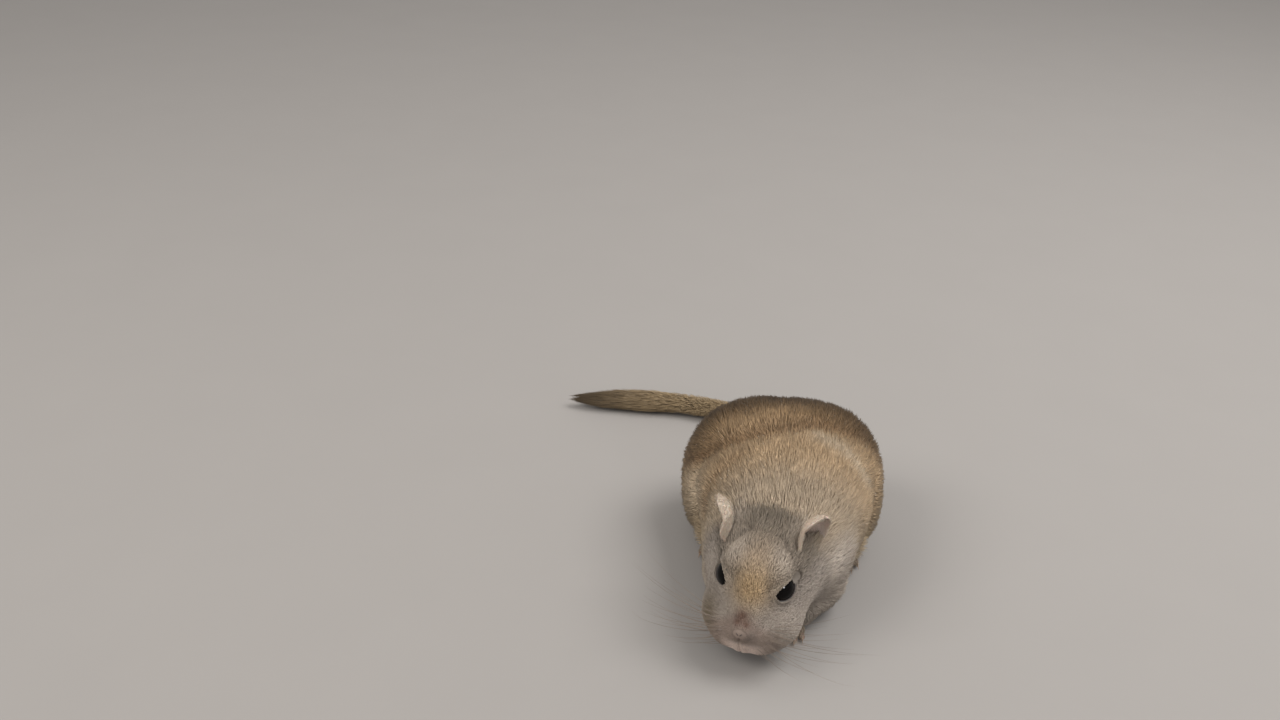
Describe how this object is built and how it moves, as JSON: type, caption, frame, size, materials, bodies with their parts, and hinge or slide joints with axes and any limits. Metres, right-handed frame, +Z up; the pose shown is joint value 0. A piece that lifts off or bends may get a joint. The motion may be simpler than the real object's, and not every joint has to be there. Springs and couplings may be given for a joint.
{
  "type": "gerbil figure",
  "caption": "Life-size crouching gerbil with its nose near the ground, rounded furred back, upright cupped ears and a tufted tail laid round to its right.",
  "frame": {"origin": "on the floor, under the middle of the whole outline seen from above, tail included", "axes": "+Z up; the gerbil faces -Y with its rump and tail towards +Y; +X is its left side"},
  "size_m": [0.1014, 0.1298, 0.0447],
  "materials": {
    "coat_back": "soft short fur, fawn ticked with grey",
    "coat_head": "soft very short fur, grey-fawn",
    "coat_pale": "soft short fur, pale beige",
    "coat_tail": "short fur, darker to the tuft",
    "bare_skin": "thin pinkish skin with sparse down",
    "eye": "wet gloss, black"
  },
  "bodies": {
    "root": {"head": "coat_head", "neck": "coat_back", "torso": "coat_back", "foreleg_left": "coat_pale", "foreleg_right": "coat_pale", "forepaw_left": "bare_skin", "forepaw_right": "bare_skin", "hindleg_left": "coat_back", "hindleg_right": "coat_back", "hindfoot_left": "bare_skin", "hindfoot_right": "bare_skin", "ear_left": "bare_skin", "ear_right": "bare_skin", "eye_left": "eye", "eye_right": "eye", "tail_base": "coat_tail", "tail_middle": "coat_tail", "tail_tip": "coat_tail"}
  },
  "joints": []
}
